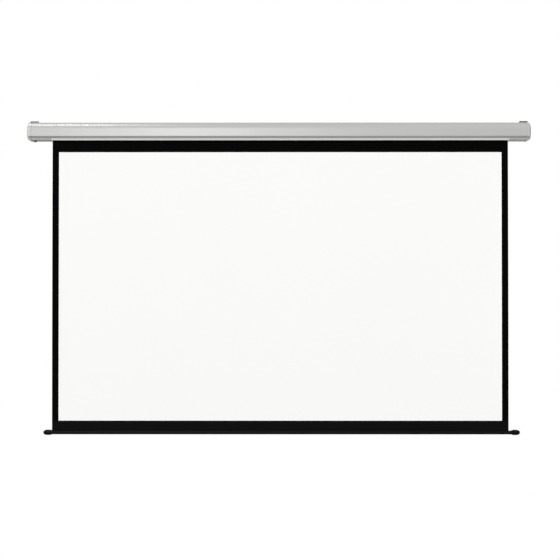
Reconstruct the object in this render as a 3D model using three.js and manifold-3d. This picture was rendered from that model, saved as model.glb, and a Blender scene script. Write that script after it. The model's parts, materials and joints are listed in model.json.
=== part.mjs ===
// A projector screen that pulls down from a spring roller in a long wall case, in millimetres.
// The origin is the centre of the case's flat back, on the wall: +X right, +Y into the wall, +Z up.
import * as THREE from "three";
import { mergeVertices } from "three/addons/utils/BufferGeometryUtils.js";
import Module from "manifold-3d";

const wasm = await Module();
wasm.setup();

// Clearances
const seatGap = 0.3; // between pieces that touch
const overrun = 3; // how far a cut runs past what it cuts

// Case section: flat top and back, rounded top front edge, flat front, chamfer, lip
const caseBeyond = 100.5; // how far each end reaches past the width of the sheet
const rollRoom = 14.7; // from the rolled sheet up to the case's top, and down to its bottom
const rollBehind = 6.4; // from the rolled sheet back to the wall
const caseSkin = 1.2;
const frontRadius = 28;
const chamferDrop = 8.2;
const chamferInset = 8;
const lipHeight = 7;
const lipInset = 2.5;
const slotBehind = 6; // from the sheet back to the channel's edge
const slotReturn = 2.6; // the channel's turned up edge along the slot
const seamAngle = 118; // where the two skins meet, on the rounded edge, in degrees from the back
const tuckAngle = 15; // how far the cover's edge runs on under the channel
const joggleAngle = 3;

// Edging strip on the lip
const trimSkin = 0.9;
const trimRise = 6.4;
const trimPast = 3; // beyond each edge of the sheet

// End caps
const capGrow = 0.8; // the cap stands proud of the skins
const domeDepth = 12.5;
const domeFlatShare = 0.3;
const bandLength = 8;
const rimDepth = 3.5;
const rimWall = 2;
const capWall = 2.4;
const capBossRadius = 5.5;
const capBossOffset = 19; // above and below the middle of the case
const counterboreDepth = 5;
const counterboreRadius = 4.2;

// End plates with a foot above and below
const plateThick = 3;
const plateInset = 4;
const footThick = 2.5;
const footReach = 17;
const footBack = 2.5; // from the back of the case to the feet
const footDepth = 39.5;

// Hanging ears
const earStart = 11; // from the end of the case
const earWidth = 31.5;
const earThick = 2.2;
const earRise = 6;
const earBack = 2;
const earFoot = 11; // each of the two feet, front to back
const earSlope = 2;
const earSpan = 14;
const earScrewInset = 21.5; // from the ear's outer edge

// Screws
const capScrew = { headRadius: 3.6, headHeight: 2.4, radius: 1.5 };
const earScrew = { headRadius: 3.4, headHeight: 2.2, radius: 1.6 };
const footScrew = { headRadius: 5.6, headHeight: 4.2, radius: 2.2 };
const screwPast = 3; // beyond the last piece that a screw goes through
const footScrewInset = 30; // from the left end of the case
const recessWidthShare = 0.28; // of the head's radius
const recessLengthShare = 1.15;
const recessDepthShare = 0.5; // of the head's height
const crownShare = 0.5; // of a head's radius at its crown, and of a screw head's height at its rim

// Sheet
const imageWidth = 1810;
const imageHeight = 1097;
const sideBorder = 26.5;
const blackDrop = 49; // black above the picture, below the case
const lowerBorder = 41; // black below the picture, down to the bar
const sheetThick = 0.5;
const maskThick = 0.25;
const sheetShift = 5.5; // the mechanism at the left pushes the sheet to the right
const sheetFromFront = 22; // behind the case's front
const windPitch = 0.9;
const windTurns = 2.5; // turns that stay on the roller

// Roller
const tubeRadius = 19;
const tubeWall = 1.7;
const grooveWidth = 5.4;
const grooveDepth = 1.1;
const grooveAngle = 200;
const plugFlange = 3;
const plugHub = 30;

// Spindle, ratchet and spring, from the left plate inwards
const socketDepth = 8;
const socketSide = 24;
const pegRadius = 2;
const pegOffset = 9;
const tangThick = 4.5;
const tangStep = 1; // the tang's height is that much less than the spindle's diameter
const spindleFlatDepth = 1; // of the flat that keys the ratchet wheel
const wheelStand = 2.4; // from the socket to the ratchet wheel
const wheelThick = 5;
const notchCount = 4;
const notchWidth = 5.4;
const notchDepth = 2.4;
const wheelWall = 2.3; // between the notches and the bore
const anchorStart = 34; // from the left plug's face to the spring's fixed boss
const anchorLength = 20;
const mandrelRadius = 4;
const mandrelSeat = 12;
const springRadius = 11; // to the middle of the wire
const wireRadius = 1.1;
const springPitch = 11;
const springCoils = 24;
const springStartShare = 0.25; // of the fixed boss, before the spring's first coil
const springEndShare = 0.5; // of the drive plug's collar, inside the last coils
const drivePlugLength = 14;

// Pawls on the left plug
const pawlPinEdge = 3.3; // from the middle of the pin to the plug's rim
const pawlPivotAngle = 32.78; // from above the axis towards the front, in degrees
const pawlPinRadius = 1.5;
const pawlPinHead = { radius: 2.5, height: 1 };
const pawlEye = 3.2;
const pawlThick = 4.4;
const pawlTip = 1.4; // past the tooth
const pawlLever = 1.9; // half the height of the lever
const toothBefore = 1.3; // from the tooth's near flank to the wheel's middle
const toothWidth = 3.6;
const toothDrop = 2.8;
const toothClear = 0.4; // above the ratchet wheel at rest
const pawlTipShare = 0.5; // of the lever's height

// Idle end at the right
const idleRadius = 4;
const bushRadius = 8;
const bushFlange = 11;
const bushFlangeThick = 2;
const bushStand = 6; // how far the bush stands in from the plate
const idleStand = 9; // from the plate to the right plug's flange

// Weight bar in the sheet's hem
const barBeyond = 40; // how far each end reaches past the width of the sheet
const barShift = 11; // the bar sits a little to the right of the case's middle
const barHeight = 14;
const barDepth = 22;
const barCorner = 4;
const hemDrop = 5.2; // from the bar's top to the middle of the sheet's hem
const splineRadius = 2.2;
const ballastRadius = 2.1;
const ballastOffset = 7.4;
const barCapLength = 33;
const barCapHeight = 21;
const barCapDepth = 25;
const barCapCorner = 9;
const barCapRise = 0.5; // the caps' middle above the bar's
const barCapPocket = 12;
const barCapDome = 15;
const barCapFlatShare = 0.35;
const collarLength = 6; // where the cap narrows towards the bar
const collarWall = 1.5; // above and below the bar
const collarCorner = 6;

// Pull bail behind the bar
const bailWire = 1.5;
const bailHalf = 40; // half its width, to the middle of the legs
const bailReach = 28;
const bailCorner = 7;
const bailHook = 7; // how far its ends turn in through the lugs
const bailHookCorner = 2.2;
const lugPlate = 1.6;
const lugPlateHalf = 37;
const lugHeight = 9;
const lugWidth = 3.4;
const lugReach = 4.6; // from the plate to the pivot
const rivetOffset = 20;
const rivetHead = 2.8;
const rivetHeadHeight = 1.2;
const rivetRimShare = 0.33; // of the head's height
const rivetRadius = 1.5;
const rivetGrip = 1;

// Facets
const roundSides = 24;
const smallSides = 12;
const arcSteps = 10; // on the case's rounded edge
const domeSteps = 5;
const cornerSteps = 3;
const coilSteps = 8;
const wireSides = 5;
const bailSteps = 64;
const bailSides = 8;

// Worked out from the sizes above
const quarter = Math.PI / 2;
const degrees = Math.PI / 180;
const sheetWidth = imageWidth + 2 * sideBorder;
const caseLength = sheetWidth + 2 * caseBeyond; // over both end caps
const barOverall = sheetWidth + 2 * barBeyond; // over both bar caps
const windRadius = tubeRadius + seatGap + sheetThick / 2 + windPitch * windTurns;
const caseDepth = sheetFromFront + 2 * windRadius + rollBehind;
const caseHeight = 2 * (windRadius + rollRoom);
const caseTop = caseHeight / 2;
const caseBottom = -caseHeight / 2;
const capLength = domeDepth + bandLength;
const skinStart = capLength + seatGap; // of the two skins, from each end of the case
const skinLength = caseLength - 2 * skinStart;
const footScrewY = -footBack - footDepth / 2;
const earScrewX = earStart + earScrewInset; // from the end of the case, as the foot screw's inset
const earFront = -earBack - 2 * (earFoot + earSlope) - earSpan;
const earScrewPlaces = [-earBack - earFoot / 2, earFront + earFoot / 2];
const earUnder = caseTop + seatGap;
const plateStart = capLength + rimDepth + seatGap;
const plateInner = plateStart + plateThick;
const rimInset = 2 * (caseSkin + seatGap) + seatGap;
const sheetY = -caseDepth + sheetFromFront;
const rollerY = sheetY + windRadius;
const imageTop = caseBottom - blackDrop;
const imageBottom = imageTop - imageHeight;
const barTop = imageBottom - lowerBorder;
const barMiddle = barTop - barHeight / 2;
const wheelStart = plateInner + socketDepth + wheelStand;
const plugFace = wheelStart + wheelThick + seatGap;
const tubeStart = plugFace + plugFlange + seatGap;
const rightPlugFace = plateInner + idleStand;
const rightTubeStart = rightPlugFace + plugFlange + seatGap;
const tubeLength = caseLength - tubeStart - rightTubeStart;
const hubRadius = tubeRadius - tubeWall - seatGap;
const anchorFace = plugFace + anchorStart;
const mandrelStart = anchorFace + anchorLength - mandrelSeat;
const springLength = springPitch * springCoils;
const springStart = anchorFace + anchorLength * springStartShare;
const drivePlugStart = springStart + springLength - anchorLength * springEndShare;
const collarHeight = barHeight + 2 * (seatGap + collarWall);
const barLength = barOverall - 2 * (barCapLength - barCapPocket);
const barBack = sheetY + barDepth / 2;
const bailPivotY = barBack + seatGap + lugPlate + lugReach;
const sheetLeft = sheetShift - sheetWidth / 2;
const sheetRight = sheetShift + sheetWidth / 2;
const hemRadius = splineRadius + seatGap + sheetThick; // of the sheet's loop round the spline
const hemCavity = hemRadius + seatGap;
const hemSlot = sheetThick + 2 * seatGap;
const pawlPivotRadius = tubeRadius - pawlPinEdge;
const pawlPivotBack = pawlPivotRadius * Math.sin(pawlPivotAngle * degrees);
const pawlPivotUp = pawlPivotRadius * Math.cos(pawlPivotAngle * degrees);
const wheelRadius = pawlPivotUp - toothDrop - toothClear;
const spindleRadius = wheelRadius - notchDepth - wheelWall - seatGap;
const spindleFlat = spindleRadius - spindleFlatDepth; // from the axis
const tangHeight = 2 * spindleRadius - tangStep;
const toothNear = pawlPivotBack - toothBefore; // the tooth's flanks, from the pivot
const toothFar = toothNear + toothWidth;
const pawlReach = toothFar + pawlTip;
const bossRadius = springRadius * Math.cos(Math.PI / coilSteps) - wireRadius - seatGap;

// Materials
const finish = (color, roughness, metalness = 0) => ({ color, roughness, metalness });
const paintedSteel = finish(0xd2d2d0, 0.45);
const capPlastic = finish(0xeeeeec, 0.4);
const whiteTrim = finish(0xf0f0ee, 0.5);
const zincSteel = finish(0xa8abad, 0.4, 0.9);
const blackSteel = finish(0x141414, 0.45, 0.3);
const turnedSteel = finish(0x9a9c9e, 0.35, 1);
const springSteel = finish(0x5a5c60, 0.4, 1);
const rollerTube = finish(0xb4b7ba, 0.4, 1);
const plugPlastic = finish(0x2c2d2f, 0.6);
const bronze = finish(0xa98548, 0.4, 1);
const screenWhite = finish(0xf6f6f5, 0.9);
const borderBlack = finish(0x0a0a0b, 0.9);
const barPaint = finish(0x121213, 0.5, 0.4);
const capBlack = finish(0x0c0c0d, 0.55);
const splinePlastic = finish(0xd8d8d4, 0.6);

const scene = new THREE.Group();

// Adds one named piece to a group, at a place and turned about one axis.
function place(group, name, geometry, material, { at = [0, 0, 0], turn = [0, 0, 0] } = {}) {
  const mesh = new THREE.Mesh(geometry, new THREE.MeshStandardMaterial(material));
  mesh.name = name;
  mesh.position.set(...at);
  mesh.rotation.set(...turn);
  group.add(mesh);
  return mesh;
}

// Outlines are drawn in depth and height, and run along X.
const alongX = new THREE.Matrix4().makeBasis(
  new THREE.Vector3(0, 1, 0),
  new THREE.Vector3(0, 0, 1),
  new THREE.Vector3(1, 0, 0),
);
const roundX = new THREE.Matrix4().makeBasis(
  new THREE.Vector3(0, 0, 1),
  new THREE.Vector3(1, 0, 0),
  new THREE.Vector3(0, 1, 0),
);
const point = (y, z) => new THREE.Vector2(y, z);

function arc(centre, radius, from, to, steps) {
  const points = [];
  for (let i = 0; i <= steps; i += 1) {
    const angle = from + ((to - from) * i) / steps;
    points.push(point(centre.x + radius * Math.cos(angle), centre.y + radius * Math.sin(angle)));
  }
  return points;
}

const circle = (centre, radius, sides) =>
  arc(centre, radius, 0, 2 * Math.PI * (1 - 1 / sides), sides - 1);

function extrude(outline, start, length, holes = []) {
  const shape = new THREE.Shape(outline);
  shape.holes = holes.map((hole) => new THREE.Path(hole));
  const geometry = new THREE.ExtrudeGeometry(shape, { depth: length, bevelEnabled: false, steps: 1 });
  return geometry.applyMatrix4(alongX).translate(start, 0, 0);
}

// Turned pieces: a profile of distances along X and radii, which starts and ends on the axis or closes.
function turned(profile, sides = roundSides) {
  const points = profile.map(([along, radius]) => new THREE.Vector2(radius, along));
  return new THREE.LatheGeometry(points, sides).applyMatrix4(roundX);
}

const rod = (start, length, radius, sides = roundSides) =>
  turned([[start, 0], [start, radius], [start + length, radius], [start + length, 0]], sides);

function block(low, high) {
  const size = high.map((value, i) => value - low[i]);
  const middle = high.map((value, i) => (value + low[i]) / 2);
  return new THREE.BoxGeometry(...size).translate(...middle);
}

// Moves each point of an outline sideways, to the left of its direction.
function offset(points, distance, closed) {
  const count = points.length;
  const normal = (a, b) => point(a.y - b.y, b.x - a.x).normalize();
  return points.map((here, i) => {
    const before = closed || i > 0 ? normal(points[(i + count - 1) % count], here) : null;
    const after = closed || i < count - 1 ? normal(here, points[(i + 1) % count]) : null;
    const first = before ?? after;
    const second = after ?? before;
    const scale = distance / (1 + first.dot(second));
    return here.clone().addScaledVector(first.clone().add(second), scale);
  });
}

// The outline of folded sheet metal whose outer face follows the points.
const folded = (points, thick) => [...points, ...offset(points, thick, false).reverse()];

// Joins outlines of equal length, each at its own X, into one closed body.
function loft(rings) {
  const count = rings[0].points.length;
  const positions = rings.flatMap((ring) => ring.points.flatMap((p) => [ring.x, p.x, p.y]));
  const index = [];
  for (let r = 0; r < rings.length - 1; r += 1) {
    for (let i = 0; i < count; i += 1) {
      const next = (i + 1) % count;
      const [a, b] = [r * count + i, r * count + next];
      index.push(a, b, b + count, a, b + count, a + count);
    }
  }
  const last = (rings.length - 1) * count;
  for (let i = 1; i < count - 1; i += 1) {
    index.push(0, i + 1, i, last, last + i, last + i + 1);
  }
  const geometry = new THREE.BufferGeometry();
  geometry.setAttribute("position", new THREE.Float32BufferAttribute(positions, 3));
  geometry.setIndex(index);
  return geometry;
}

function solidOf(geometry) {
  const bare = geometry.clone();
  bare.deleteAttribute("normal");
  bare.deleteAttribute("uv");
  const merged = mergeVertices(bare, 1e-4);
  return new wasm.Manifold(
    new wasm.Mesh({
      numProp: 3,
      vertProperties: new Float32Array(merged.attributes.position.array),
      triVerts: new Uint32Array(merged.index.array),
    }),
  );
}

function geometryOf(solid) {
  const { vertProperties, triVerts } = solid.getMesh();
  const geometry = new THREE.BufferGeometry();
  geometry.setAttribute("position", new THREE.BufferAttribute(vertProperties, 3));
  geometry.setIndex(new THREE.BufferAttribute(triVerts, 1));
  return geometry;
}

const joined = (...geometries) =>
  geometryOf(geometries.map(solidOf).reduce((all, next) => all.add(next)));
const cut = (geometry, ...tools) =>
  geometryOf(tools.map(solidOf).reduce((left, tool) => left.subtract(tool), solidOf(geometry)));

// Rods that stand along Z, for screws and their holes.
const uprightRod = (x, y, low, high, radius, sides = smallSides) =>
  new THREE.CylinderGeometry(radius, radius, high - low, sides)
    .rotateX(quarter)
    .translate(x, y, (low + high) / 2);

// Pan head screw along X, its seat at zero and its shank towards +X, with a cross recess.
function screw({ headRadius, headHeight, radius }, length) {
  const profile = [
    [-headHeight, 0],
    [-headHeight, headRadius * crownShare],
    [-headHeight * crownShare, headRadius],
    [0, headRadius],
    [0, radius],
    [length - radius, radius],
    [length, 0],
  ];
  const width = (headRadius * recessWidthShare) / 2;
  const reach = (headRadius * recessLengthShare) / 2;
  const floor = -headHeight * (1 - recessDepthShare);
  const top = -headHeight - overrun;
  return cut(
    turned(profile, smallSides),
    block([top, -width, -reach], [floor, width, reach]),
    block([top, -reach, -width], [floor, reach, width]),
  );
}

// The case's outline, from the top back corner round by the front.
const edgeCentre = point(-caseDepth + frontRadius, caseTop - frontRadius);
const lipTop = point(-caseDepth + chamferInset, caseBottom + lipHeight);
const lipBottom = point(lipTop.x + lipInset, caseBottom);
const frontPoints = [point(-caseDepth, lipTop.y + chamferDrop), lipTop, lipBottom];
const caseOutline = [
  point(0, caseTop),
  ...arc(edgeCentre, frontRadius, quarter, Math.PI, arcSteps),
  ...frontPoints,
  point(0, caseBottom),
];

const throughSkin = (x, y, skinBottom, screwRadius) =>
  uprightRod(x, y, skinBottom - overrun, skinBottom + caseSkin + overrun, screwRadius + seatGap);

function backChannel() {
  const slotBack = sheetY + slotBehind;
  const outer = [
    point(slotBack, caseBottom + slotReturn),
    point(slotBack, caseBottom),
    point(0, caseBottom),
    point(0, caseTop),
    ...arc(edgeCentre, frontRadius, quarter, seamAngle * degrees, cornerSteps),
  ];
  const wall = extrude(folded(outer, caseSkin), -skinLength / 2, skinLength);
  const earHoles = [-1, 1].flatMap((side) =>
    earScrewPlaces.map((y) =>
      throughSkin(side * (caseLength / 2 - earScrewX), y, caseTop - caseSkin, earScrew.radius),
    ),
  );
  const footHoleX = -caseLength / 2 + footScrewInset;
  return cut(wall, ...earHoles, throughSkin(footHoleX, footScrewY, caseBottom, footScrew.radius));
}

function frontCover() {
  const seam = seamAngle * degrees;
  const tuckRadius = frontRadius - caseSkin - seatGap;
  const outer = [
    ...arc(edgeCentre, tuckRadius, seam - tuckAngle * degrees, seam, cornerSteps),
    ...arc(edgeCentre, frontRadius, seam + joggleAngle * degrees, Math.PI, arcSteps),
    ...frontPoints,
  ];
  return extrude(folded(outer, caseSkin), -skinLength / 2, skinLength);
}

// A white edging that clips over the lip, a little wider than the sheet.
function slotTrim() {
  const up = lipTop.clone().sub(lipBottom).normalize();
  const inward = point(up.y, -up.x);
  const spot = (across, along) =>
    lipBottom.clone().addScaledVector(inward, across).addScaledVector(up, along);
  const path = [
    spot(-seatGap, trimRise),
    spot(-seatGap, -seatGap),
    spot(caseSkin + seatGap, -seatGap),
    spot(caseSkin + seatGap, trimRise),
  ];
  const length = sheetWidth + 2 * trimPast;
  return extrude(folded(path, -trimSkin), sheetShift - length / 2, length);
}

// Rings of a dome that is flat at its tip and full size at the given depth.
function domeRings(outline, middle, depth, flatShare, start = 0) {
  const first = Math.asin(flatShare);
  const rings = [];
  for (let i = 0; i <= domeSteps; i += 1) {
    const angle = first + ((quarter - first) * i) / domeSteps;
    const share = Math.sin(angle);
    rings.push({
      x: start + depth * (1 - Math.cos(angle) / Math.cos(first)),
      points: outline.map((p) => p.clone().sub(middle).multiplyScalar(share).add(middle)),
    });
  }
  return rings;
}

const caseMiddle = point(-caseDepth / 2, 0);
const capBossPlaces = [-capBossOffset, capBossOffset].map((z) => point(caseMiddle.x, z));

// At each end X runs inwards from the end of the case. The cap stays level with the flat back.
function endCap() {
  const outer = offset(caseOutline, -capGrow, true).map((p) => point(Math.min(p.x, 0), p.y));
  const rimOutline = offset(caseOutline, rimInset, true);
  const hollow = offset(caseOutline, rimInset + rimWall, true);
  const end = capLength + rimDepth;
  const shell = loft([
    ...domeRings(outer, caseMiddle, domeDepth, domeFlatShare),
    { x: capLength, points: outer },
  ]);
  const rim = extrude(rimOutline, domeDepth, end - domeDepth);
  const inside = loft([
    ...domeRings(hollow, caseMiddle, domeDepth, domeFlatShare, capWall),
    { x: end + overrun, points: hollow },
  ]);
  const bossStart = counterboreDepth - capWall;
  const bosses = capBossPlaces.map((p) =>
    rod(bossStart, end - bossStart, capBossRadius).translate(0, p.x, p.y),
  );
  const holes = capBossPlaces.flatMap((p) => [
    rod(-overrun, counterboreDepth + overrun, counterboreRadius).translate(0, p.x, p.y),
    rod(-overrun, end + 2 * overrun, capScrew.radius + seatGap, smallSides).translate(0, p.x, p.y),
  ]);
  return cut(joined(cut(joined(shell, rim), inside), ...bosses), ...holes);
}

// A steel plate inside each end of the skins, with a foot above and below for the screws.
function endPlate(holes) {
  const outline = offset(caseOutline, plateInset, true);
  const screwHoles = capBossPlaces.map((p) => circle(p, capScrew.radius + seatGap, smallSides));
  const plate = extrude(outline, plateStart, plateThick, [...screwHoles, ...holes]);
  const foot = (low) =>
    block([plateStart, -footBack - footDepth, low], [plateInner + footReach, -footBack, low + footThick]);
  const through = (x, y, low, screwRadius) =>
    uprightRod(x, y, low - overrun, low + footThick + overrun, screwRadius + seatGap);
  const topLow = caseTop - caseSkin - seatGap - footThick;
  const bottomLow = caseBottom + caseSkin + seatGap;
  const earHoles = earScrewPlaces.map((y) => through(earScrewX, y, topLow, earScrew.radius));
  const footHole = through(footScrewInset, footScrewY, bottomLow, footScrew.radius);
  return cut(joined(plate, foot(topLow), foot(bottomLow)), ...earHoles, footHole);
}

// A steel strap bent into a bridge, which a hook or chain passes under.
function hangingEar() {
  const under = [
    point(-earBack, earUnder),
    point(-earBack - earFoot, earUnder),
    point(-earBack - earFoot - earSlope, earUnder + earRise),
    point(earFront + earFoot + earSlope, earUnder + earRise),
    point(earFront + earFoot, earUnder),
    point(earFront, earUnder),
  ];
  const strap = extrude(folded(under, -earThick), earStart, earWidth);
  const capRelief = block(
    [earStart - overrun, -caseDepth, caseTop],
    [skinStart + seatGap, 0, caseTop + capGrow + seatGap],
  );
  const screwHoles = earScrewPlaces.map((y) =>
    uprightRod(earScrewX, y, caseTop, earUnder + earThick + overrun, earScrew.radius + seatGap),
  );
  return cut(strap, capRelief, ...screwHoles);
}

// Fixed pieces at both ends of the case
const leftEnd = new THREE.Group();
leftEnd.position.x = -caseLength / 2;
const rightEnd = new THREE.Group();
rightEnd.position.x = caseLength / 2;
rightEnd.scale.x = -1;
scene.add(leftEnd, rightEnd);

place(scene, "case_back_channel", backChannel(), paintedSteel);
place(scene, "case_front_cover", frontCover(), paintedSteel);
place(scene, "slot_trim", slotTrim(), whiteTrim);

const axisPoint = point(rollerY, 0);
const pegHoles = [-pegOffset, pegOffset].map((z) =>
  circle(point(rollerY, z), pegRadius + seatGap, smallSides),
);
const bushHole = circle(axisPoint, bushRadius + seatGap, roundSides);
const skinAndFoot = caseSkin + footThick + 2 * seatGap + screwPast; // what an upright screw takes in

for (const [side, group, holes] of [
  ["left", leftEnd, pegHoles],
  ["right", rightEnd, [bushHole]],
]) {
  place(group, `${side}_end_cap`, endCap(), capPlastic);
  place(group, `${side}_end_plate`, endPlate(holes), zincSteel);
  place(group, `${side}_hanging_ear`, hangingEar(), zincSteel);
  capBossPlaces.forEach((p, i) => {
    const name = `${side}_cap_screw_${i ? "upper" : "lower"}`;
    const seat = counterboreDepth - seatGap;
    const part = screw(capScrew, plateInner + screwPast - seat);
    place(group, name, part, zincSteel, { at: [seat, p.x, p.y] });
  });
  earScrewPlaces.forEach((y, i) => {
    const name = `${side}_ear_screw_${i ? "front" : "rear"}`;
    const at = [earScrewX, y, earUnder + earThick + seatGap];
    const part = screw(earScrew, earThick + seatGap + skinAndFoot);
    place(group, name, part, zincSteel, { at, turn: [0, quarter, 0] });
  });
}
place(leftEnd, "foot_screw", screw(footScrew, skinAndFoot), blackSteel, {
  at: [footScrewInset, footScrewY, caseBottom - seatGap],
  turn: [0, -quarter, 0],
});

// The socket that keeps the spindle from turning, pegged to the left plate.
function spindleSocket() {
  const start = plateInner + seatGap;
  const half = socketSide / 2;
  const body = block([start, rollerY - half, -half], [start + socketDepth, rollerY + half, half]);
  const pegs = [-pegOffset, pegOffset].map((z) =>
    rod(plateStart, plateThick + 2 * seatGap, pegRadius, smallSides).translate(0, rollerY, z),
  );
  const slot = block(
    [start + seatGap, rollerY - tangThick / 2 - seatGap, -tangHeight / 2 - seatGap],
    [start + socketDepth + overrun, rollerY + tangThick / 2 + seatGap, tangHeight / 2 + seatGap],
  );
  return cut(joined(body, ...pegs), slot);
}

// Fixed spindle: flat tang, keyed shaft, and the boss that holds the spring's fixed end.
function springSpindle() {
  const tangStart = plateInner + 3 * seatGap;
  const shaftStart = plateInner + socketDepth + 2 * seatGap;
  const tang = block(
    [tangStart, -tangThick / 2, -tangHeight / 2],
    [shaftStart + seatGap, tangThick / 2, tangHeight / 2],
  );
  const bossEnd = anchorFace + anchorLength;
  const shaft = turned([
    [shaftStart, 0],
    [shaftStart, spindleRadius],
    [anchorFace, spindleRadius],
    [anchorFace, bossRadius],
    [bossEnd, bossRadius],
    [bossEnd, 0],
  ]);
  const key = block(
    [wheelStart - seatGap, -wheelRadius, spindleFlat],
    [wheelStart + wheelThick + seatGap, wheelRadius, wheelRadius],
  );
  const seat = rod(bossEnd - mandrelSeat, mandrelSeat + overrun, mandrelRadius + seatGap);
  return cut(joined(tang, shaft), key, seat);
}

// A disc with square notches that the pawls drop into, keyed to the spindle's flat.
function ratchetWheel() {
  const bore = spindleRadius + seatGap;
  const flat = spindleFlat + seatGap;
  const from = Math.asin(flat / bore);
  const hole = arc(point(0, 0), bore, Math.PI - from, 2 * Math.PI + from, roundSides);
  const disc = extrude(circle(point(0, 0), wheelRadius, 2 * roundSides), wheelStart, wheelThick, [
    hole,
  ]);
  const notches = [];
  for (let i = 0; i < notchCount; i += 1) {
    const notch = block(
      [wheelStart - overrun, -notchWidth / 2, wheelRadius - notchDepth],
      [wheelStart + wheelThick + overrun, notchWidth / 2, wheelRadius + overrun],
    );
    notches.push(notch.rotateX((2 * Math.PI * i) / notchCount));
  }
  return cut(disc, ...notches);
}

// The spring's wire, whose end coils grip the fixed boss and the drive plug.
class SpringCurve extends THREE.Curve {
  getPoint(share, target = new THREE.Vector3()) {
    const angle = 2 * Math.PI * springCoils * share;
    const across = springRadius * Math.cos(angle);
    return target.set(springStart + springLength * share, across, springRadius * Math.sin(angle));
  }
}

const springCurve = new SpringCurve();
springCurve.arcLengthDivisions = springCoils * coilSteps * coilSteps;

function torsionSpring() {
  const wire = new THREE.Shape(circle(point(0, 0), wireRadius, wireSides));
  const steps = springCoils * coilSteps;
  return new THREE.ExtrudeGeometry(wire, { steps, bevelEnabled: false, extrudePath: springCurve });
}

// The least distance between the wire's faces, from points more than half a coil apart.
function leastCoilGap() {
  const spots = springCurve.getPoints(springCoils * coilSteps);
  const gaps = spots.flatMap((spot, i) =>
    spots.slice(i + coilSteps / 2).map((other) => spot.distanceTo(other) - 2 * wireRadius),
  );
  return Math.min(...gaps);
}
console.log(`least gap between the spring's coils: ${leastCoilGap().toFixed(1)} mm`);

place(leftEnd, "spindle_socket", spindleSocket(), zincSteel);
const onAxis = { at: [0, rollerY, 0] };
place(leftEnd, "spring_spindle", springSpindle(), turnedSteel, onAxis);
place(leftEnd, "ratchet_wheel", ratchetWheel(), turnedSteel, onAxis);
const mandrelLength = drivePlugStart + drivePlugLength + anchorLength - mandrelStart;
const mandrel = rod(mandrelStart + seatGap, mandrelLength, mandrelRadius, smallSides);
place(leftEnd, "mandrel_rod", mandrel, turnedSteel, onAxis);
place(leftEnd, "torsion_spring", torsionSpring(), springSteel, onAxis);

function idleBush() {
  const bore = idleRadius + seatGap;
  const flangeStart = plateInner + seatGap;
  const tip = plateInner + bushStand;
  return turned([
    [plateStart, bore],
    [plateStart, bushRadius],
    [flangeStart, bushRadius],
    [flangeStart, bushFlange],
    [flangeStart + bushFlangeThick, bushFlange],
    [flangeStart + bushFlangeThick, bushRadius],
    [tip, bushRadius],
    [tip, bore],
    [plateStart, bore],
  ]);
}
place(rightEnd, "idle_bush", idleBush(), plugPlastic, onAxis);

// Roller tube with a groove that holds the sheet's edge.
function tubeOutline() {
  const groove = grooveAngle * degrees;
  const half = Math.asin(grooveWidth / 2 / tubeRadius);
  const rim = arc(point(0, 0), tubeRadius, groove + half, groove + 2 * Math.PI - half, roundSides);
  const along = point(Math.cos(groove), Math.sin(groove));
  const across = point(-along.y, along.x);
  const floor = (tubeRadius - grooveDepth) * Math.cos(half);
  const corner = (side) =>
    along.clone().multiplyScalar(floor).addScaledVector(across, (side * grooveWidth) / 2);
  return [...rim, corner(-1), corner(1)];
}

function retainerStrip() {
  const width = grooveWidth - 2 * seatGap;
  const floor = tubeRadius * Math.cos(Math.asin(width / 2 / tubeRadius)) - grooveDepth;
  const low = [-sheetWidth / 2, floor + seatGap, -width / 2];
  const high = [sheetWidth / 2, floor + grooveDepth - seatGap, width / 2];
  return block(low, high).rotateX(grooveAngle * degrees);
}

// Left plug: flange with the pawl pins, and a hub in the tube that turns on the spindle.
function rollerPlug(face, bore, pins) {
  const hubStart = face + plugFlange;
  const end = hubStart + plugHub;
  const body = turned([
    [face, bore],
    [face, tubeRadius],
    [hubStart, tubeRadius],
    [hubStart, hubRadius],
    [end, hubRadius],
    [end, bore],
    [face, bore],
  ]);
  return pins.length ? cut(body, ...pins) : body;
}

const pawlTurns = [0, Math.PI];
const pawlPivot = [-pawlPivotBack, pawlPivotUp];
const pinEnd = plugFace + plugFlange;
const pinHole = rod(plugFace - overrun, plugFlange + 2 * overrun, pawlPinRadius + seatGap, smallSides);
pinHole.translate(0, ...pawlPivot);

// A pin with a head that keeps the pawl on.
function pawlPin() {
  const profile = [
    [wheelStart - pawlPinHead.height, 0],
    [wheelStart - pawlPinHead.height, pawlPinHead.radius],
    [wheelStart, pawlPinHead.radius],
    [wheelStart, pawlPinRadius],
    [pinEnd, pawlPinRadius],
    [pinEnd, 0],
  ];
  return turned(profile, smallSides).translate(0, ...pawlPivot);
}

// A lever that hangs on its pin, with one square tooth towards the ratchet wheel.
function pawl() {
  const from = Math.asin(pawlLever / pawlEye);
  const outline = [
    ...arc(point(0, 0), pawlEye, from, 2 * Math.PI - from, smallSides),
    point(toothNear, -pawlLever),
    point(toothNear, -toothDrop),
    point(toothFar, -toothDrop),
    point(toothFar, -pawlLever),
    point(pawlReach, -pawlLever * pawlTipShare),
    point(pawlReach, pawlLever * pawlTipShare),
    point(toothFar, pawlLever),
  ];
  const hole = circle(point(0, 0), pawlPinRadius + seatGap, smallSides);
  return extrude(outline, wheelStart + seatGap, pawlThick, [hole]).translate(0, ...pawlPivot);
}

function rollerTubeShape() {
  const bore = circle(point(0, 0), tubeRadius - tubeWall, roundSides);
  return extrude(tubeOutline(), -caseLength / 2 + tubeStart, tubeLength, [bore]);
}

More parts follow.
